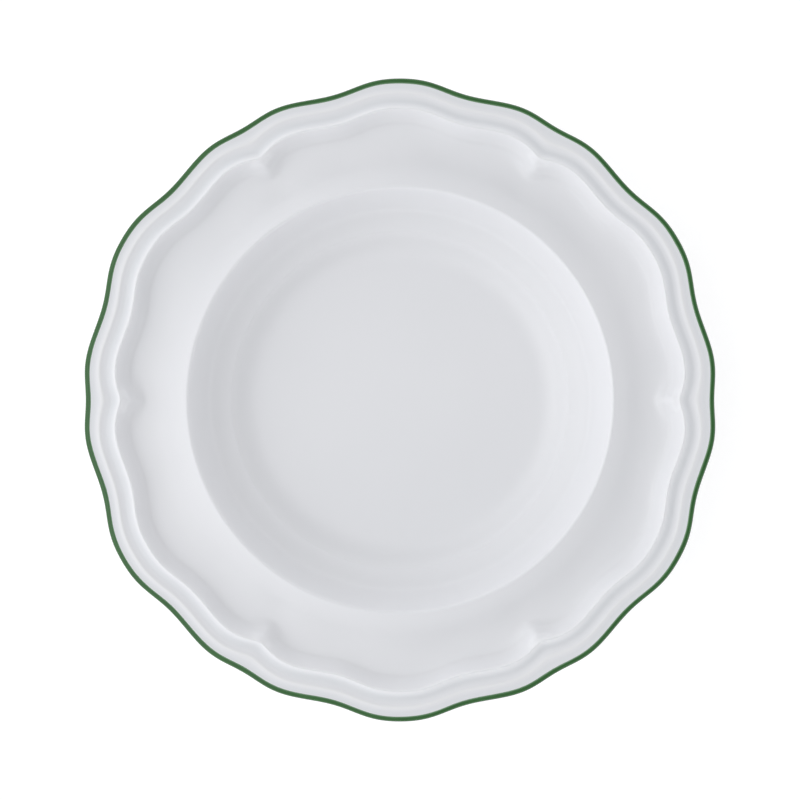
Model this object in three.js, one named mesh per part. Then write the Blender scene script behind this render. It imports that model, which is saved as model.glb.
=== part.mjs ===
// A soup plate in glazed porcelain: a round well, a coved flange that ends in a double bead, a scalloped
// lip with a fired green enamel line, and a foot ring whose glaze is ground away.
// Millimetres, +Z up. The origin is the centre of the foot, on the surface that the plate stands on.
import * as THREE from "three";

// ---- Sizes across, seen from above ----
const PLATE_DIAMETER = 240; // across two opposite broad lobes, over the enamel
const WELL_DIAMETER = 159; // of the crest where the well meets the flange

// ---- Places in the well, measured inwards from its crest ----
const CREASE_INSET = 16; // a faint break in the slope of the wall
const WALL_INSET = 9; // where the wall turns from its gentle foot to its steep top
const FLOOR_INSET = 30; // where the flat floor starts
const FOOT_INSET = 22; // the middle of the foot ring, on the back

// ---- Places on the rim, measured inwards from the edge of the porcelain ----
const COVE_INSET = 20.2; // the bottom of the cove
const COVE_WALL_INSET = 17.2; // where the cove's wall starts to climb
const INNER_BEAD_INSET = 11.4;
const GROOVE_INSET = 7.7;
const OUTER_BEAD_INSET = 5.2;
const BORDER_INSET = 2.8; // a level border inside the enamel
const FLANGE_OUTSET = 6.5; // how far the flange runs straight, outwards from the well's crest

// ---- Heights ----
const FOOT_HEIGHT = 5;
const FLOOR_THICKNESS = 4.4;
const WELL_DEPTH = 18; // from the floor to the crest
const CREASE_RISE = 3.9; // from the floor to the crease
const WALL_RISE = 6.4; // from the floor to the turn in the wall
const FLANGE_FALL = 2.9; // of the flange's straight stretch, below the crest
const FLANGE_DIP = 5.1; // from the crest down to the bottom of the cove
const COVE_WALL_RISE = 0.2; // from the bottom of the cove to the start of its wall
const COVE_RISE = 5.8; // from the bottom of the cove to the inner bead, the highest part
const GROOVE_DEPTH = 1.8; // below the inner bead
const OUTER_BEAD_RISE = 0.28; // above the groove
const BORDER_FALL = 0.32; // below the outer bead
const LIP_RISE = 0.05; // above the border
const WALL_SAG = 3.6; // of the wall's middle, below the straight line from the crease to the crest
const CREST_BACK = { outset: 3.4, thickness: 5.6 }; // the hollow of the back, behind the well's crest

// ---- Thicknesses ----
const WALL_THICKNESS = 4.4; // square to the wall of the well, halfway up
const FLANGE_THICKNESS = 3.6; // under the bottom of the cove
const LIP_THICKNESS = 2.6; // the lip is a half round of this width

// ---- The rounding of the crests: half its width, its drop on the side that faces the well, and its drop
// on the side that faces out ----
const WELL_CREST = { half: 1.1, drop: 0.7, fall: 0.3 };
const INNER_BEAD = { half: 0.5, drop: 0.3, fall: 0.12 };
const OUTER_BEAD = { half: 0.5, drop: 0.05, fall: 0.05 };

// ---- Slopes in degrees, rising outwards ----
const SLOPE_BELOW_CREASE = 42;
const SLOPE_ABOVE_CREASE = 12;
const SLOPE_WALL = 32;
const SLOPE_WALL_TOP = 59;
const SLOPE_FLANGE = -26;
const SLOPE_COVE_WALL = 9;
const SLOPE_COVE_TOP = 55;
const SLOPE_INNER_BEAD = -42;
const SLOPE_GROOVE = 16;
const SLOPE_BORDER = -14;
const SLOPE_LIP = 4;
const SLOPE_BACK_FOOT = 36; // the back, where it leaves the foot ring
const SLOPE_BACK_WALL = 42;
const SLOPE_BACK_CREST = -2;
const SLOPE_BACK_LIP = 20;

// ---- The scallops: each petal is a sum of cosines, one broad lobe and a split small one ----
const PETALS = 6;
const SCALLOPS = [
  { perPetal: 1, depth: -0.67 },
  { perPetal: 2, depth: 1.125 },
  { perPetal: 3, depth: -0.69 },
  { perPetal: 4, depth: -0.31 },
  { perPetal: 6, depth: -0.075 },
];

// ---- The pinch that draws the beads inwards between two petals, and the spine that it raises ----
const PINCH_DEPTH = 1.7;
const PINCH_TIP = 0.5; // how far its tip is rounded
const PINCH_WIDTH = 0.11; // at the beads, as the sine of half a petal's angle
const PINCH_SPREAD = 0.16; // what it widens by, towards the well
const PINCH_FADE = 6; // the width, next to the enamel, in which it dies out
const SPINE_HEIGHT = 1.3; // of the spine, up the cove's wall

// ---- Where the relief grows: shares of the way from the well's crest to the inner bead ----
const WAVE_FULL = 0.85;
const PINCH_FULL = 0.55;
const SPINE_START = 0.56;
const SPINE_FULL = 0.84;
const SPINE_SINKS = 0.86; // it is gone again at the bead

// ---- The enamel line ----
const LINE_THICKNESS = 0.15;
const LINE_LAP = 0.1; // how far it laps onto the flat inside the lip's half round

// ---- The foot ring ----
const FOOT_FACE_WIDTH = 3.2; // of the ground face
const FOOT_ROOT_WIDTH = 7.5; // where the ring meets the body
const FOOT_EDGE_ROUND = 0.6;

// ---- How finely the curves are cut ----
const STEPS_PER_PETAL = 16;
const CROWDING = 0.55; // how much the steps crowd towards each pinch, from 0 to 1
const LIP_STEPS = 5;
const LIP_STEPS_ENAMELLED = 3;
const FOOT_STEPS = 64;

const radians = THREE.MathUtils.degToRad;
const { clamp, inverseLerp, smoothstep } = THREE.MathUtils;
const point = (r, z) => new THREE.Vector2(r, z);

// How far the edge stands outside its mean circle at an angle.
function scallop(angle) {
  return SCALLOPS.reduce((sum, wave) => sum + wave.depth * Math.cos(wave.perPetal * PETALS * angle), 0);
}

// ---- Places that follow from the sizes ----
const edgeRadius = PLATE_DIAMETER / 2 - scallop(Math.PI / PETALS) - LINE_THICKNESS;
const lipRound = LIP_THICKNESS / 2;
const lipCentreRadius = edgeRadius - lipRound;
const lineStartRadius = lipCentreRadius - LINE_LAP;
const wellRadius = WELL_DIAMETER / 2;
const creaseRadius = wellRadius - CREASE_INSET;
const innerBeadRadius = edgeRadius - INNER_BEAD_INSET;
const outerBeadRadius = edgeRadius - OUTER_BEAD_INSET;
const coveRadius = edgeRadius - COVE_INSET;
const footRadius = wellRadius - FOOT_INSET;
const footRootRadius = footRadius + FOOT_ROOT_WIDTH / 2;

const floorTop = FOOT_HEIGHT + FLOOR_THICKNESS;
const creaseTop = floorTop + CREASE_RISE;
const wellTop = floorTop + WELL_DEPTH;
const coveBottom = wellTop - FLANGE_DIP;
const innerBeadTop = coveBottom + COVE_RISE;
const grooveBottom = innerBeadTop - GROOVE_DEPTH;
const outerBeadTop = grooveBottom + OUTER_BEAD_RISE;
const borderTop = outerBeadTop - BORDER_FALL;
const lipTop = borderTop + LIP_RISE;

// ---- The section, as stretches of curve between stops ----
// A stop is a point, the slope that the section arrives with, the number of steps that lead up to it, and
// the slope that it leaves with where that one differs.
function sectionThrough(start, slopeAtStart, stops) {
  const section = [start];
  let leaving = slopeAtStart;
  for (const { to, slope, steps, then = slope } of stops) {
    const from = section.at(-1);
    const third = (to.x - from.x) / 3;
    const curve = new THREE.CubicBezierCurve(
      from,
      point(from.x + third, from.y + third * Math.tan(radians(leaving))),
      point(to.x - third, to.y - third * Math.tan(radians(slope))),
      to,
    );
    section.push(...curve.getPoints(steps).slice(1));
    leaving = then;
  }
  return section;
}

// The two stops that round a crest off, the first on the side that faces the well.
function crest(radius, top, { half, drop, fall }, slopeUp, slopeDown, stepsUp) {
  return [
    { to: point(radius - half, top - drop), slope: slopeUp, steps: stepsUp },
    { to: point(radius + half, top - fall), slope: slopeDown, steps: 1 },
  ];
}

// The upper face, from the axis out to the start of the enamel.
function upperFace() {
  const coveWall = point(edgeRadius - COVE_WALL_INSET, coveBottom + COVE_WALL_RISE);
  return sectionThrough(point(0, floorTop), 0, [
    { to: point(wellRadius - FLOOR_INSET, floorTop), slope: 0, steps: 1 },
    { to: point(creaseRadius, creaseTop), slope: SLOPE_BELOW_CREASE, steps: 3, then: SLOPE_ABOVE_CREASE },
    { to: point(wellRadius - WALL_INSET, floorTop + WALL_RISE), slope: SLOPE_WALL, steps: 2 },
    ...crest(wellRadius, wellTop, WELL_CREST, SLOPE_WALL_TOP, SLOPE_FLANGE, 2),
    { to: point(wellRadius + FLANGE_OUTSET, wellTop - FLANGE_FALL), slope: SLOPE_FLANGE, steps: 1 },
    { to: point(coveRadius, coveBottom), slope: 0, steps: 2 },
    { to: coveWall, slope: SLOPE_COVE_WALL, steps: 1 },
    ...crest(innerBeadRadius, innerBeadTop, INNER_BEAD, SLOPE_COVE_TOP, SLOPE_INNER_BEAD, 3),
    { to: point(edgeRadius - GROOVE_INSET, grooveBottom), slope: 0, steps: 2 },
    ...crest(outerBeadRadius, outerBeadTop, OUTER_BEAD, SLOPE_GROOVE, SLOPE_BORDER, 1),
    { to: point(edgeRadius - BORDER_INSET, borderTop), slope: 0, steps: 1 },
    { to: point(lineStartRadius, lipTop), slope: SLOPE_LIP, steps: 1 },
  ]);
}

// Part of the lip's half round, or of the enamel's outer face when it is swollen by the enamel's thickness.
function lipArc(steps, swelling) {
  const centre = point(lipCentreRadius, lipTop - lipRound);
  return Array.from({ length: steps + 1 }, (_, step) => {
    const angle = Math.PI / 2 - (Math.PI * step) / LIP_STEPS;
    return point(Math.cos(angle), Math.sin(angle)).multiplyScalar(lipRound + swelling).add(centre);
  });
}

// The back, from the lip in to the foot ring. Halfway up the wall it lies square behind the upper face.
function backFace() {
  const wallSlope = Math.atan2(wellTop - creaseTop, wellRadius - creaseRadius);
  const middle = point((creaseRadius + wellRadius) / 2, (creaseTop + wellTop) / 2 - WALL_SAG);
  const behindWall = point(Math.sin(wallSlope), -Math.cos(wallSlope)).multiplyScalar(WALL_THICKNESS);
  const behindCrest = point(wellRadius + CREST_BACK.outset, wellTop - CREST_BACK.thickness);
  const outwards = sectionThrough(point(footRootRadius + FOOT_EDGE_ROUND, FOOT_HEIGHT), SLOPE_BACK_FOOT, [
    { to: behindWall.add(middle), slope: SLOPE_BACK_WALL, steps: 2 },
    { to: behindCrest, slope: SLOPE_BACK_CREST, steps: 3 },
    { to: point(coveRadius, coveBottom - FLANGE_THICKNESS), slope: 0, steps: 2 },
    { to: point(lipCentreRadius, lipTop - LIP_THICKNESS), slope: SLOPE_BACK_LIP, steps: 3 },
  ]);
  return outwards.reverse();
}

// ---- The relief of the rim ----
// How far a point of the section moves outwards (x) and upwards (y) at an angle. The scallops grow from
// nothing at the well to their full depth at the beads. The pinch, a V with a rounded tip, is only in the
// upper face, and dies out again at the enamel. The spine lifts the cove's wall along the same V.
function relief(radius, angle, pinched) {
  const share = inverseLerp(wellRadius, innerBeadRadius, radius);
  const wave = scallop(angle) * smoothstep(share, 0, WAVE_FULL);
  if (!pinched) return point(wave, 0);
  const width = PINCH_WIDTH + PINCH_SPREAD * (1 - clamp(share, 0, 1));
  const across = Math.exp(PINCH_TIP - Math.hypot(PINCH_TIP, Math.sin((PETALS * angle) / 2) / width));
  const rising = smoothstep(share, 0, PINCH_FULL);
  const fading = smoothstep(lineStartRadius - radius, 0, PINCH_FADE);
  const raised = smoothstep(share, SPINE_START, SPINE_FULL) * (1 - smoothstep(share, SPINE_SINKS, 1));
  return point(wave - PINCH_DEPTH * across * rising * fading, SPINE_HEIGHT * across * raised);
}

// The angles of the cuts round one turn, closer together at the pinches.
const angles = Array.from({ length: PETALS * STEPS_PER_PETAL }, (_, cut) => {
  const turn = (2 * Math.PI * cut) / STEPS_PER_PETAL;
  return (turn - CROWDING * Math.sin(turn)) / PETALS;
});

// Carries a closed section round the axis and moves its points with the relief. The section runs with the
// solid on its right. Each square of the surface is cut along a diagonal. Where one piece lies against
// another their sections run opposite ways, so the one that is laid on takes the other diagonal, and the
// two surfaces match.
function scalloped(section, pinchedPoints, laidOn) {
  const cuts = angles.length;
  const positions = section.flatMap(({ x, y }, place) =>
    angles.flatMap((angle) => {
      const moved = relief(x, angle, place < pinchedPoints);
      const radius = x + moved.x;
      return [radius * Math.cos(angle), radius * Math.sin(angle), y + moved.y];
    }),
  );
  const index = [];
  for (let place = 0; place < section.length; place++) {
    const here = place * cuts;
    const next = ((place + 1) % section.length) * cuts;
    for (let cut = 0; cut < cuts; cut++) {
      const after = (cut + 1) % cuts;
      if (laidOn) {
        index.push(here + cut, next + cut, here + after, next + cut, next + after, here + after);
      } else {
        index.push(here + cut, next + cut, next + after, here + cut, next + after, here + after);
      }
    }
  }
  const geometry = new THREE.BufferGeometry();
  geometry.setAttribute("position", new THREE.Float32BufferAttribute(positions, 3));
  geometry.setIndex(index);
  geometry.computeVertexNormals();
  return geometry;
}

// ---- The pieces ----
// The fired clay body, all but the ring that it stands on.
function porcelainBody() {
  const upper = upperFace();
  const section = [...upper, ...lipArc(LIP_STEPS, 0), ...backFace().slice(1), point(0, FOOT_HEIGHT)];
  return scalloped(section, upper.length, false);
}

// The enamel, wrapped over the lip from its flat top to just under its edge.
function enamelLine() {
  const [outer, inner] = [LINE_THICKNESS, 0].map((swelling) => [
    point(lineStartRadius, lipTop + swelling),
    ...lipArc(LIP_STEPS_ENAMELLED, swelling),
  ]);
  return scalloped([...outer, ...inner.reverse()], 0, true);
}

// The foot ring tapers from its root to the flat face that is ground clean.
function footRing() {
  const halfFace = FOOT_FACE_WIDTH / 2;
  const lean = Math.atan2(footRootRadius - footRadius - halfFace - FOOT_EDGE_ROUND, FOOT_HEIGHT);
  const profile = new THREE.Path();
  profile.absarc(footRadius - halfFace, FOOT_EDGE_ROUND, FOOT_EDGE_ROUND, lean - Math.PI, -Math.PI / 2);
  profile.absarc(footRadius + halfFace, FOOT_EDGE_ROUND, FOOT_EDGE_ROUND, -Math.PI / 2, -lean);
  profile.lineTo(footRootRadius, FOOT_HEIGHT);
  profile.lineTo(footRadius - FOOT_ROOT_WIDTH / 2, FOOT_HEIGHT);
  profile.closePath();
  return new THREE.LatheGeometry(profile.getPoints(1), FOOT_STEPS).rotateX(Math.PI / 2);
}

const finishes = {
  glaze: new THREE.MeshStandardMaterial({ color: 0xeef0f3, roughness: 0.12, metalness: 0 }),
  biscuit: new THREE.MeshStandardMaterial({ color: 0xe6e0d6, roughness: 0.85, metalness: 0 }),
  enamel: new THREE.MeshStandardMaterial({ color: 0x42603f, roughness: 0.22, metalness: 0 }),
};

const pieces = [
  { name: "porcelain_body", geometry: porcelainBody(), finish: finishes.glaze },
  { name: "foot_ring", geometry: footRing(), finish: finishes.biscuit },
  { name: "green_rim_line", geometry: enamelLine(), finish: finishes.enamel },
];

const plate = new THREE.Group();
for (const { name, geometry, finish } of pieces) {
  const mesh = new THREE.Mesh(geometry, finish);
  mesh.name = name;
  plate.add(mesh);
}

export default plate;
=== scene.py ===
import math

import bpy
import numpy as np
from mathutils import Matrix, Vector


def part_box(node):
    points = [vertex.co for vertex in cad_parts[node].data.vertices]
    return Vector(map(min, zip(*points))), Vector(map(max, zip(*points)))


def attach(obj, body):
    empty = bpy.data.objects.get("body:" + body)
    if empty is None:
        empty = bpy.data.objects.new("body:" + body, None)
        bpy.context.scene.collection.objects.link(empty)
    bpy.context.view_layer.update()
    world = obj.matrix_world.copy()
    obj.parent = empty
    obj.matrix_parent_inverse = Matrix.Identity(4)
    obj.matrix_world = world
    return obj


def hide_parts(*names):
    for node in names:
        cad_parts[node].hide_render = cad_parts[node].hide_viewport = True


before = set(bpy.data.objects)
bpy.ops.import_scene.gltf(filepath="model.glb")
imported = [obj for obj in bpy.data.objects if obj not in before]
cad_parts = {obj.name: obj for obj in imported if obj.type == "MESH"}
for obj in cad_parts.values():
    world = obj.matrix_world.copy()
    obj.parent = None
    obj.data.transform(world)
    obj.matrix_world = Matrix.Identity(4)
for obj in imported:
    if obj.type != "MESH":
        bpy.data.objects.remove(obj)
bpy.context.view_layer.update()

# ---------------------------------------------------------------------------------------------------------
# The body. One piece of porcelain clay, pressed over a plaster mould that gives the upper face its beads
# and scallops, and shaped from behind by a turning blade that follows the edge. It is dipped in a clear
# glaze and fired; the glass draws away from sharp crests and gathers in the hollows. Its colour also holds
# painted light: painted shade in the hollows and at the foot of the wall, and a painted highlight on the
# beads.
# ---------------------------------------------------------------------------------------------------------
MM = 0.001
_, body_high = (np.array(corner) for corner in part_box("porcelain_body"))
foot_low, foot_high = (np.array(corner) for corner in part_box("foot_ring"))

PETALS = 6
# The cosines that add up to the scalloped edge: how often each one comes in a petal, and its depth.
SCALLOPS = ((1, -0.67 * MM), (2, 1.125 * MM), (3, -0.69 * MM), (4, -0.31 * MM), (6, -0.075 * MM))


def scallop(angle):
    """The sum of depth * cos(times * petals * angle) over the list of cosines."""
    return sum(depth * np.cos(times * PETALS * angle) for times, depth in SCALLOPS)


# The lip is a half round, and the clay's edge is where the body's box ends over a broad lobe.
lip_round = 1.3 * MM
edge_r = body_high[1] - scallop(np.pi / PETALS)
lip_centre_r = edge_r - lip_round
line_start_r = lip_centre_r - 0.1 * MM

# Radii of the well, inwards from its crest, and of the beads, inwards from the edge.
well_r = 79.5 * MM
crease_r = well_r - 16 * MM
wall_r = well_r - 9 * MM
floor_r = well_r - 30 * MM
cove_r = edge_r - 20.2 * MM
cove_wall_r = edge_r - 17.2 * MM
inner_bead_r = edge_r - 11.4 * MM
groove_r = edge_r - 7.7 * MM
outer_bead_r = edge_r - 5.2 * MM
border_r = edge_r - 2.8 * MM

# Heights, down from the inner bead, which is the highest part of the body. The CAD solid is cut more
# coarsely, so that its box ends a little below the bead's own height.
COARSE_CUT = 0.12 * MM
inner_bead_z = body_high[2] + COARSE_CUT
groove_z = inner_bead_z - 1.8 * MM
outer_bead_z = groove_z + 0.28 * MM
border_z = outer_bead_z - 0.32 * MM
lip_z = border_z + 0.05 * MM
cove_z = inner_bead_z - 5.8 * MM
well_z = cove_z + 5.1 * MM
floor_z = well_z - 18 * MM
crease_z = floor_z + 3.9 * MM
wall_z = floor_z + 6.4 * MM
foot_z = foot_high[2]


def curve_through(start, leaving, stops):
    """Cubic Bezier stretches from stop to stop, a stop being (r, z, slope in degrees, steps). A stretch's
    two inner control points stand a third of the way along, on the lines that leave its ends at their
    slopes."""
    section = [np.array([start])]
    for r, z, arriving, steps in stops:
        here, there = section[-1][-1], np.array([r, z])
        third = (r - here[0]) / 3
        first = here + third * np.array([1, math.tan(math.radians(leaving))])
        second = there - third * np.array([1, math.tan(math.radians(arriving))])
        t = np.linspace(0, 1, steps + 1)[1:, None]
        mixed = (1 - t) ** 3 * here + 3 * (1 - t) ** 2 * t * first + 3 * (1 - t) * t**2 * second
        section.append(mixed + t**3 * there)
        leaving = arriving
    return np.vstack(section)


def rounded_path(start, corners, end, steps=6):
    """Straight runs whose corners are rounded off. A corner is (r, z, cut): its round starts and ends at the
    distance cut from it, and is the parabola that has the corner as its middle control point."""
    path = [np.array([start])]
    ahead = [np.array(corner[:2]) for corner in corners[1:]] + [np.array(end)]
    for (r, z, cut), following in zip(corners, ahead):
        corner, here = np.array([r, z]), path[-1][-1]
        enter = corner + cut * (here - corner) / np.linalg.norm(here - corner)
        leave = corner + cut * (following - corner) / np.linalg.norm(following - corner)
        t = np.linspace(0, 1, steps)[:, None]
        path.append((1 - t) ** 2 * enter + 2 * (1 - t) * t * corner + t**2 * leave)
    path.append(np.array([end]))
    return np.vstack(path)


# The upper face. The floor is very slightly crowned. The crease and each crest are rounded off by a short
# stretch between a stop on either side of them.
HUB = 3 * MM  # the radius inside which a fan of triangles closes the floor and another the back
MIDWAY = 30 * MM  # the radius of a stop between the hub and the edge of the floor
CROWN = 0.5 * MM
SOFT_CREASE = 0.3 * MM
CREST_HALF = 1.1 * MM
BEAD_HALF = 0.5 * MM
FLANGE_RUN = 6.5 * MM  # how far out from the crest the flange falls evenly
upper = curve_through((HUB, floor_z + CROWN), 0, [
    (MIDWAY, floor_z + CROWN / 2, -1.2, 6),
    (floor_r, floor_z, 0, 6),
    (crease_r - SOFT_CREASE, crease_z - 0.2 * MM, 42, 18),
    (crease_r + SOFT_CREASE, crease_z + 0.1 * MM, 12, 3),
    (wall_r, wall_z, 32, 12),
    (well_r - CREST_HALF, well_z - 0.7 * MM, 59, 16),
    (well_r + CREST_HALF, well_z - 0.3 * MM, -26, 10),
    (well_r + FLANGE_RUN, well_z - 2.9 * MM, -26, 8),
    (cove_r, cove_z, 0, 14),
    (cove_wall_r, cove_z + 0.2 * MM, 9, 6),
    (inner_bead_r - BEAD_HALF, inner_bead_z - 0.3 * MM, 55, 16),
    (inner_bead_r + BEAD_HALF, inner_bead_z - 0.12 * MM, -42, 7),
    (groove_r, groove_z, 0, 9),
    (outer_bead_r - BEAD_HALF, outer_bead_z - 0.05 * MM, 16, 6),
    (outer_bead_r + BEAD_HALF, outer_bead_z - 0.05 * MM, -14, 6),
    (border_r, border_z, 0, 6),
    (lip_centre_r, lip_z, 4, 4),
])

LIP_POINTS = 15
turn = np.linspace(np.pi / 2, -np.pi / 2, LIP_POINTS)[1:, None]
lip = np.array([lip_centre_r, lip_z - lip_round]) + lip_round * np.hstack([np.cos(turn), np.sin(turn)])

# The back follows behind the wall, which sags below the straight line from the crease to the crest, and
# behind the crest and the flange.
WALL_THICKNESS = 4.4 * MM
WALL_SAG = 3.6 * MM
CREST_THICKNESS = 5.6 * MM
FLANGE_THICKNESS = 3.6 * MM
FOOT_ROOT_HALF = 3.75 * MM
wall_slope = math.atan2(well_z - crease_z, well_r - crease_r)
wall_back_r = (crease_r + well_r) / 2 + WALL_THICKNESS * math.sin(wall_slope)
wall_back_z = (crease_z + well_z) / 2 - WALL_SAG - WALL_THICKNESS * math.cos(wall_slope)
foot_r = well_r - 22 * MM
foot_outer_r = foot_r + FOOT_ROOT_HALF
back = curve_through((foot_outer_r + 1.4 * MM, foot_z + 0.9 * MM), 33, [
    (wall_back_r, wall_back_z, 42, 12),
    (well_r + 3.4 * MM, well_z - CREST_THICKNESS, -2, 14),
    (cove_r, cove_z - FLANGE_THICKNESS, 0, 10),
    (lip_centre_r, lip_z - 2 * lip_round, 20, 14),
])[::-1]

# The glazed flanks of the foot come down to the edge of the bare ring and turn in over it. Inside the foot
# the back is very slightly domed.
GLAZE_EDGE = 0.9 * MM  # how high the glaze stops above the table
NECK_HALF = 1.95 * MM  # half the width of the bare clay where the glaze stops
GLAZE_ROLL = 0.3 * MM  # how far the glaze stands out past the clay
GLAZE_LAP = 0.35 * MM  # how far it turns in over the clay
foot = rounded_path(
    back[-1],
    [
        (foot_outer_r + 0.1 * MM, foot_z - 0.1 * MM, 1.1 * MM),
        (foot_r + NECK_HALF + GLAZE_ROLL, GLAZE_EDGE, 0.2 * MM),
        (foot_r + NECK_HALF - GLAZE_LAP, GLAZE_EDGE + 0.1 * MM, 0.1 * MM),
        (foot_r - NECK_HALF + GLAZE_LAP, GLAZE_EDGE + 0.1 * MM, 0.1 * MM),
        (foot_r - NECK_HALF - GLAZE_ROLL, GLAZE_EDGE, 0.2 * MM),
        (foot_r - 3.6 * MM, foot_z - 0.05 * MM, 1.3 * MM),
    ],
    (foot_r - 6.5 * MM, foot_z + 0.05 * MM),
)
recess = curve_through(tuple(foot[-1]), 2, [
    (MIDWAY, foot_z + 0.45 * MM, 0, 12),
    (HUB, foot_z + 0.5 * MM, 0, 6),
])
section = np.vstack([upper, lip, back[1:], foot[1:], recess[1:]])

# The scallops, the pinch between two petals and the spine that climbs the cove's wall there. The last two
# are pressed into the upper face alone. A share counts from 0 at the well's crest to 1 at the inner bead.
WAVE_FULL = 0.85  # the share at which the scallops have their full depth
PINCH_DEPTH = 1.7 * MM
PINCH_TIP = 0.5  # how blunt its V is
PINCH_WIDTH = 0.11  # at the beads, as a sine
PINCH_SPREAD = 0.16  # how much is added to that at the well's crest
PINCH_FULL = 0.55  # the share at which it has its full depth
PINCH_FADE = 6 * MM  # how far before the green line it starts to fade
SPINE_HEIGHT = 2.1 * MM
SPINE_SHARPNESS = 1.6  # the power that makes it narrower than the pinch
SPINE_START = 0.64
SPINE_CLIMB = 0.24
SPINE_SINK = 0.12


def smooth(x):
    """From 0 to 1 with level ends: 3x^2 - 2x^3, with x held between 0 and 1."""
    x = np.clip(x, 0, 1)
    return x * x * (3 - 2 * x)


def pinch(share, angle):
    """A V with a rounded tip and spreading ends, e^(tip - sqrt(tip^2 + (sin(3 angle) / width)^2)), which is
    narrow at the beads and wider towards the well, as the share falls from 1 to 0."""
    width = PINCH_WIDTH + PINCH_SPREAD * (1 - np.clip(share, 0, 1))
    return np.exp(PINCH_TIP - np.hypot(PINCH_TIP, np.sin(PETALS * angle / 2) / width))


def relief(radius, angle, pinched):
    """How far a place moves outwards and upwards. Outwards: the scallops, grown smoothly from nothing at the
    well's crest, less the pinch, which grows there too and fades again towards the green line. Upwards: the
    spine, which climbs and sinks again on the cove's wall, times a power of the pinch."""
    share = (radius - well_r) / (inner_bead_r - well_r)
    wave = scallop(angle) * smooth(share / WAVE_FULL)
    drawn_in = PINCH_DEPTH * smooth(share / PINCH_FULL) * smooth((line_start_r - radius) / PINCH_FADE)
    raised = SPINE_HEIGHT * smooth((share - SPINE_START) / SPINE_CLIMB) * smooth((1 - share) / SPINE_SINK)
    near = pinched * pinch(share, angle)
    return wave - drawn_in * near, raised * near**SPINE_SHARPNESS


def skin(name, rows, ring=False):
    """A closed skin over rows of points, each row a turn round the axis. The rows join end to end when they
    make a ring; otherwise a fan of triangles closes the first row and the last one on the axis."""
    count, cuts, _ = rows.shape
    verts = rows.reshape(-1, 3)
    here = np.arange(count if ring else count - 1)[:, None] * cuts
    ahead = (here + cuts) % (count * cuts)
    cut = np.arange(cuts)
    after = (cut + 1) % cuts
    quads = np.stack([here + cut, ahead + cut, ahead + after, here + after], axis=-1).reshape(-1, 4)
    loops, totals = quads.ravel(), np.full(len(quads), 4)
    if not ring:
        last = (count - 1) * cuts
        poles = rows[[0, -1]].mean(axis=1)
        verts = np.vstack([verts, poles])
        top = np.stack([np.full(cuts, len(verts) - 2), cut, after], axis=-1)
        bottom = np.stack([last + cut, np.full(cuts, len(verts) - 1), last + after], axis=-1)
        loops = np.concatenate([loops, top.ravel(), bottom.ravel()])
        totals = np.concatenate([totals, np.full(2 * cuts, 3)])
    mesh = bpy.data.meshes.new(name)
    mesh.vertices.add(len(verts))
    mesh.vertices.foreach_set("co", verts.ravel())
    mesh.loops.add(len(loops))
    mesh.loops.foreach_set("vertex_index", loops.astype(np.int32))
    mesh.polygons.add(len(totals))
    mesh.polygons.foreach_set("loop_start", (np.cumsum(totals) - totals).astype(np.int32))
    mesh.polygons.foreach_set("use_smooth", np.ones(len(totals), dtype=bool))
    mesh.update(calc_edges=True)
    mesh.validate()
    piece = bpy.data.objects.new(name, mesh)
    bpy.context.scene.collection.objects.link(piece)
    return piece


def note(piece, name, values):
    """Stores one number for each point of the mesh, for its material to read."""
    held = piece.data.attributes.new(name, "FLOAT", "POINT")
    held.data.foreach_set("value", values.astype(np.float32))


def turned(profile, pinched, cuts_per_petal=60, crowding=0.45):
    """The profile's points at each cut round the axis, moved by the relief. The cuts crowd towards the
    middle of each pinch: turn - crowding * sin(turn), shared out over the petals."""
    step = 2 * np.pi * np.arange(PETALS * cuts_per_petal) / cuts_per_petal
    angle = (step - crowding * np.sin(step)) / PETALS
    radius, height = profile[:, :1], profile[:, 1:]
    out, up = relief(radius, angle, pinched[:, None])
    moved = radius + out
    return np.stack([moved * np.cos(angle), moved * np.sin(angle), height + up], axis=-1)


pinched = np.arange(len(section)) < len(upper)
rows = turned(section, pinched)
body = skin("glazed_porcelain_body", rows)


def bell(middle, width):
    """At each row of the upper face, e^-((r - middle) / width)^2, and nothing on the back."""
    return np.where(pinched, np.exp(-(((section[:, 0] - middle) / width) ** 2)), 0)


# How much glaze lies at each row, with painted light in the same number: above 0 where it gathers and is
# painted darker as shade, in the groove, beside the lip and at the foot of the wall, and below 0 where it
# draws away and is painted lighter as a highlight, on the beads. The two poles have an even coat.
pooled_and_painted_light = 1.0 * bell(groove_r - 1.2 * MM, 2.2 * MM) + 0.8 * bell(border_r, 1.6 * MM)
pooled_and_painted_light += 0.15 * bell(crease_r - 12 * MM, 6 * MM)
pooled_and_painted_light -= 0.5 * bell(inner_bead_r, 0.9 * MM) + 0.85 * bell(outer_bead_r, 0.8 * MM)
note(body, "pooling_and_painted_light", np.append(np.repeat(pooled_and_painted_light, rows.shape[1]), [0, 0]))


def new_finish(name):
    """A material with its shader, and a short way to add nodes and link them."""
    finish = bpy.data.materials.new(name)
    finish.use_nodes = True
    tree = finish.node_tree
    shader = tree.nodes["Principled BSDF"]

    def add(kind, **settings):
        """A node with each setting in its socket of that name or, failing that, on the node itself."""
        node = tree.nodes.new(kind)
        for key, value in settings.items():
            if key in node.inputs:
                node.inputs[key].default_value = value
            else:
                setattr(node, key, value)
        return node

    return finish, shader, add, tree.links.new


def noise(add, link, coords, scale, detail, roughness=0.5):
    """A smooth random pattern fixed to the piece, with scale waves to the metre."""
    node = add("ShaderNodeTexNoise", Scale=scale, Detail=detail, Roughness=roughness)
    link(coords, node.inputs["Vector"])
    return node.outputs["Fac"]


def spread(add, link, value, given, wanted):
    """Carries a value in proportion from the given range to the wanted one, and holds it within that."""
    node = add("ShaderNodeMapRange")
    for name, number in zip(("From Min", "From Max", "To Min", "To Max"), given + wanted):
        node.inputs[name].default_value = number
    link(value, node.inputs["Value"])
    return node.outputs["Result"]


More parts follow.
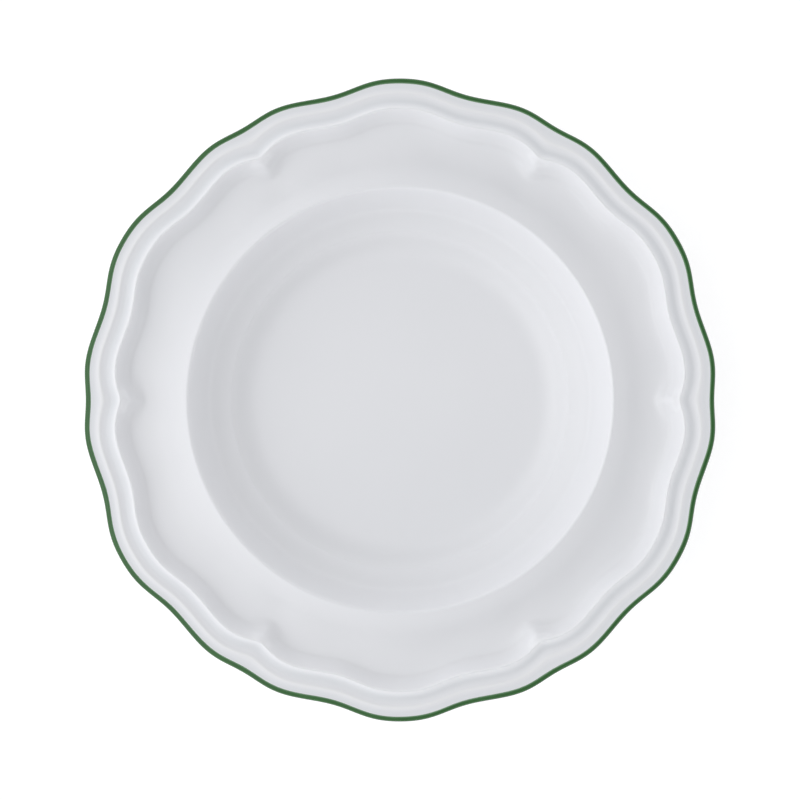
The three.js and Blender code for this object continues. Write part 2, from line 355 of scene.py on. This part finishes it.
def tinted(add, link, factor, first, second):
    """Two colours mixed by a factor: the first at 0 and the second at 1."""
    node = add("ShaderNodeMix", data_type="RGBA")
    colour_a, colour_b, colour_out = node.inputs[6], node.inputs[7], node.outputs[2]
    colour_a.default_value = (*first, 1)
    if isinstance(second, tuple):
        colour_b.default_value = (*second, 1)
    else:
        link(second, colour_b)
    link(factor, node.inputs[0])
    return colour_out


glaze, shader, add, link = new_finish("clear_glaze_on_porcelain")
place = add("ShaderNodeTexCoord").outputs["Object"]
pooling_and_painted_light = add("ShaderNodeAttribute", attribute_name="pooling_and_painted_light").outputs["Fac"]
# The thin glaze's colour is also a painted highlight on the beads, and the deep glaze's colour is also
# painted shade in the groove, beside the lip and at the foot of the wall; the clouds mixed in below are the
# glaze's own.
THIN_GLAZE_AND_HIGHLIGHT = (0.905, 0.905, 0.915)
EVEN_GLAZE = (0.882, 0.882, 0.907)
DEEP_GLAZE_AND_SHADE = (0.80, 0.812, 0.84)
# The first mask lightens the beads as a painted highlight; the second darkens the hollows as painted shade.
crest_thinning_and_highlight = spread(add, link, pooling_and_painted_light, (-1, 0), (0, 1))
hollow_pool_and_shade = spread(add, link, pooling_and_painted_light, (0.05, 1), (0, 1))
clouds = noise(add, link, place, scale=9, detail=3)
clouded = spread(add, link, clouds, (0.35, 0.65), (0, 0.25))
gathered_and_shaded = add("ShaderNodeMath", operation="MAXIMUM")
link(hollow_pool_and_shade, gathered_and_shaded.inputs[0])
link(clouded, gathered_and_shaded.inputs[1])
over_body = tinted(add, link, gathered_and_shaded.outputs[0], EVEN_GLAZE, DEEP_GLAZE_AND_SHADE)
link(tinted(add, link, crest_thinning_and_highlight, THIN_GLAZE_AND_HIGHLIGHT, over_body), shader.inputs["Base Color"])
haze = noise(add, link, place, scale=60, detail=3)
link(spread(add, link, haze, (0.3, 0.7), (0.05, 0.10)), shader.inputs["Roughness"])
shader.inputs["IOR"].default_value = 1.52
ripple = add("ShaderNodeBump", Strength=0.12, Distance=0.0004)
link(noise(add, link, place, scale=110, detail=1.5), ripple.inputs["Height"])
link(ripple.outputs["Normal"], shader.inputs["Normal"])
body.data.materials.append(glaze)

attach(body, "root")
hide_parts("porcelain_body")

# ---------------------------------------------------------------------------------------------------------
# The foot ring's standing face. The glaze is wiped off before the firing, so that the plate doesn't stick
# to its shelf, and the bare biscuit is then ground flat and polished. It runs up a little behind the glaze.
# ---------------------------------------------------------------------------------------------------------
FACE_HALF = 1.6 * MM
FACE_ROUND = 0.35 * MM
BEHIND_GLAZE = 0.02 * MM
BISCUIT_TOP = GLAZE_EDGE + 0.3 * MM
biscuit_profile = rounded_path(
    (foot_r, foot_low[2]),
    [
        (foot_r - FACE_HALF, foot_low[2], FACE_ROUND),
        (foot_r - NECK_HALF - BEHIND_GLAZE, BISCUIT_TOP, 0.05 * MM),
        (foot_r + NECK_HALF + BEHIND_GLAZE, BISCUIT_TOP, 0.05 * MM),
        (foot_r + FACE_HALF, foot_low[2], FACE_ROUND),
    ],
    (foot_r + 0.2 * MM, foot_low[2]),
)
unpinched = np.zeros(len(biscuit_profile))
foot_ring = skin("bare_foot_ring", turned(biscuit_profile, unpinched, cuts_per_petal=40), ring=True)

biscuit, shader, add, link = new_finish("ground_biscuit")
place = add("ShaderNodeTexCoord").outputs["Object"]
BISCUIT = (0.72, 0.68, 0.62)
RUBBED = (0.50, 0.475, 0.44)
grain = noise(add, link, place, scale=2600, detail=4, roughness=0.65)
rubs = noise(add, link, place, scale=70, detail=5, roughness=0.6)
marks = spread(add, link, rubs, (0.48, 0.72), (0, 0.75))
link(tinted(add, link, marks, BISCUIT, RUBBED), shader.inputs["Base Color"])
link(spread(add, link, grain, (0.3, 0.7), (0.62, 0.85)), shader.inputs["Roughness"])
tooth = add("ShaderNodeBump", Strength=0.35, Distance=0.00012)
link(grain, tooth.inputs["Height"])
link(tooth.outputs["Normal"], shader.inputs["Normal"])
foot_ring.data.materials.append(biscuit)

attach(foot_ring, "root")
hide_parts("foot_ring")

# ---------------------------------------------------------------------------------------------------------
# The green line. Enamel in oil, banded along the lip by hand with a long brush while the plate turns, and
# fired until it sinks into the glaze. It is fullest over the edge and thins towards its inner border, which
# wanders a little with the hand.
# ---------------------------------------------------------------------------------------------------------
LINE_TOP = 0.58 * MM  # how far it reaches inwards past the lip's half round
LINE_UNDER = math.radians(112)  # how far it is wrapped round the lip
LINE_FULL = 0.12 * MM  # its thickness in the middle
LINE_CUTS = 160 * PETALS
LINE_POINTS = 19
BORDER_SHARE = 0.15  # of the line's width, in which it thins out
BURIED = 0.06 * MM  # how deep its back lies in the clay
WANDER = 0.045 * MM
WAVERS = ((1, 7, 0.4), (0.6, 19, 2), (0.45, 43, 1))  # strength, waves in a turn, where they start
WANDER_UNDER = 0.8  # of the wander of the upper border

# Both borders wander by a sum of strength * sin(waves * angle + start). In between, the thickness follows
# sqrt(1 - x^4), with x from -1 to 1: nearly level, and falling to nothing at the borders.
angle = 2 * np.pi * np.arange(LINE_CUTS) / LINE_CUTS
wander = WANDER * sum(strength * np.sin(waves * angle + start) for strength, waves, start in WAVERS)
upper_border = -LINE_TOP + wander
lower_border = lip_round * LINE_UNDER + WANDER_UNDER * wander[::-1]
share = np.linspace(0, 1, LINE_POINTS)[:, None]
reach = upper_border + (lower_border - upper_border) * share
thick = LINE_FULL * np.sqrt(1 - (2 * share - 1) ** 4)


def over_lip(reach, lift):
    """A place on the lip at a distance along its section from where its half round starts, lifted square off
    the clay: level before the round, and then turning with it."""
    bent = np.clip(reach / lip_round, 0, None)
    radius = lip_centre_r + np.minimum(reach, 0) + (lip_round + lift) * np.sin(bent)
    height = lip_z - lip_round + (lip_round + lift) * np.cos(bent)
    moved = radius + scallop(angle)
    return np.stack([moved * np.cos(angle), moved * np.sin(angle), height], axis=-1)


rows = np.concatenate([over_lip(reach, thick), over_lip(reach[::-1], -BURIED)])
line = skin("green_enamel_line", rows, ring=True)

# Where a point lies along the brush's stroke: the turn as a cosine and a sine, and the share of the width.
across = np.concatenate([share, share[::-1]])
along = np.stack(np.broadcast_arrays(np.cos(angle), np.sin(angle), across), axis=-1)
stroke = line.data.attributes.new("stroke", "FLOAT_VECTOR", "POINT")
stroke.data.foreach_set("vector", along.astype(np.float32).ravel())
note(line, "fullness", np.clip(along[:, :, 2] / BORDER_SHARE, 0, 1).ravel())

enamel, shader, add, link = new_finish("fired_green_enamel")
FULL_GREEN = (0.019, 0.102, 0.018)
THIN_GREEN = (0.055, 0.19, 0.05)
BORDER_GREEN = (0.2, 0.37, 0.2)
stroke_place = add("ShaderNodeAttribute", attribute_name="stroke").outputs["Vector"]
streaks = noise(add, link, stroke_place, scale=14, detail=5, roughness=0.6)
fullness = add("ShaderNodeAttribute", attribute_name="fullness").outputs["Fac"]
thinned = spread(add, link, streaks, (0.45, 0.7), (0, 0.6))
streaked = tinted(add, link, thinned, FULL_GREEN, THIN_GREEN)
link(tinted(add, link, fullness, BORDER_GREEN, streaked), shader.inputs["Base Color"])
link(spread(add, link, streaks, (0.3, 0.7), (0.10, 0.20)), shader.inputs["Roughness"])
shader.inputs["IOR"].default_value = 1.5
drag = add("ShaderNodeBump", Strength=0.2, Distance=0.0001)
link(streaks, drag.inputs["Height"])
link(drag.outputs["Normal"], shader.inputs["Normal"])
line.data.materials.append(enamel)

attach(line, "root")
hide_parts("green_rim_line")

# ---------------------------------------------------------------------------------------------------------
# The studio. A white table, under a wide soft light from the left and the pale cloth of a tent. The table
# glows a little of its own, so that it stays white in the plate's shade.
# ---------------------------------------------------------------------------------------------------------
TABLE_HALF = 4.0
TABLE_GLOW = 0.62
TABLE_GREY = (0.5, 0.5, 0.5, 1)
corners = [(x * TABLE_HALF, y * TABLE_HALF, 0) for x, y in ((-1, -1), (1, -1), (1, 1), (-1, 1))]
table_top = bpy.data.meshes.new("table")
table_top.from_pydata(corners, [], [(0, 1, 2, 3)])
table = bpy.data.objects.new("table", table_top)
bpy.context.scene.collection.objects.link(table)
white, shader, *_ = new_finish("white_table")
shader.inputs["Base Color"].default_value = TABLE_GREY
shader.inputs["Roughness"].default_value = 0.9
shader.inputs["Emission Color"].default_value = (1, 1, 1, 1)
shader.inputs["Emission Strength"].default_value = TABLE_GLOW
table_top.materials.append(white)

# The sky is the tent. Its light is a dim one everywhere, and a ring round the horizon that falls off upwards
# as the square of 1 less the sine of the height, and a softbox high on the left that falls off as the sixth
# power of the cosine of the angle from its middle.
DIM = 0.235
RING = 1.5
RING_FALL = 2
SOFTBOX = 1.66
SOFTBOX_FALL = 6
BOX_AZIMUTH, BOX_ELEVATION = math.radians(187), math.radians(62)
CLOTH = (0.98, 0.99, 1.0, 1)
sky = bpy.data.worlds.new("studio")
sky.use_nodes = True
tree = sky.node_tree


def worked(operation, value, other):
    """The operation on two values, at each direction of the sky. The other value may be a plain number."""
    node = tree.nodes.new("ShaderNodeMath")
    node.operation = operation
    tree.links.new(value, node.inputs[0])
    if isinstance(other, (int, float)):
        node.inputs[1].default_value = other
    else:
        tree.links.new(other, node.inputs[1])
    return node.outputs[0]


def towards(direction):
    """The cosine of the angle between a direction of the sky and this one, and nothing behind it."""
    node = tree.nodes.new("ShaderNodeVectorMath")
    node.operation = "DOT_PRODUCT"
    node.inputs[1].default_value = direction
    tree.links.new(looking, node.inputs[0])
    return worked("MAXIMUM", node.outputs["Value"], 0)


looking = tree.nodes.new("ShaderNodeTexCoord").outputs["Generated"]
box = towards((
    math.cos(BOX_ELEVATION) * math.cos(BOX_AZIMUTH),
    math.cos(BOX_ELEVATION) * math.sin(BOX_AZIMUTH),
    math.sin(BOX_ELEVATION),
))
low = worked("POWER", worked("ADD", worked("MULTIPLY", towards((0, 0, 1)), -1), 1), RING_FALL)
light = worked("ADD", worked("MULTIPLY", worked("POWER", box, SOFTBOX_FALL), SOFTBOX), DIM)
light = worked("ADD", worked("MULTIPLY", low, RING), light)
tree.links.new(light, tree.nodes["Background"].inputs["Strength"])
tree.nodes["Background"].inputs["Color"].default_value = CLOTH
bpy.context.scene.world = sky

# Straight down on the middle of the plate.
VIEW_WIDTH = 0.2979  # how much the lens takes in from side to side, at the height of the lip
lens = bpy.data.cameras.new("camera")
lens.lens = 135
camera = bpy.data.objects.new("camera", lens)
camera.location = (0, 0, lip_z + VIEW_WIDTH * lens.lens / lens.sensor_width)
bpy.context.scene.collection.objects.link(camera)
bpy.context.scene.camera = camera
bpy.context.scene.view_settings.view_transform = "Standard"
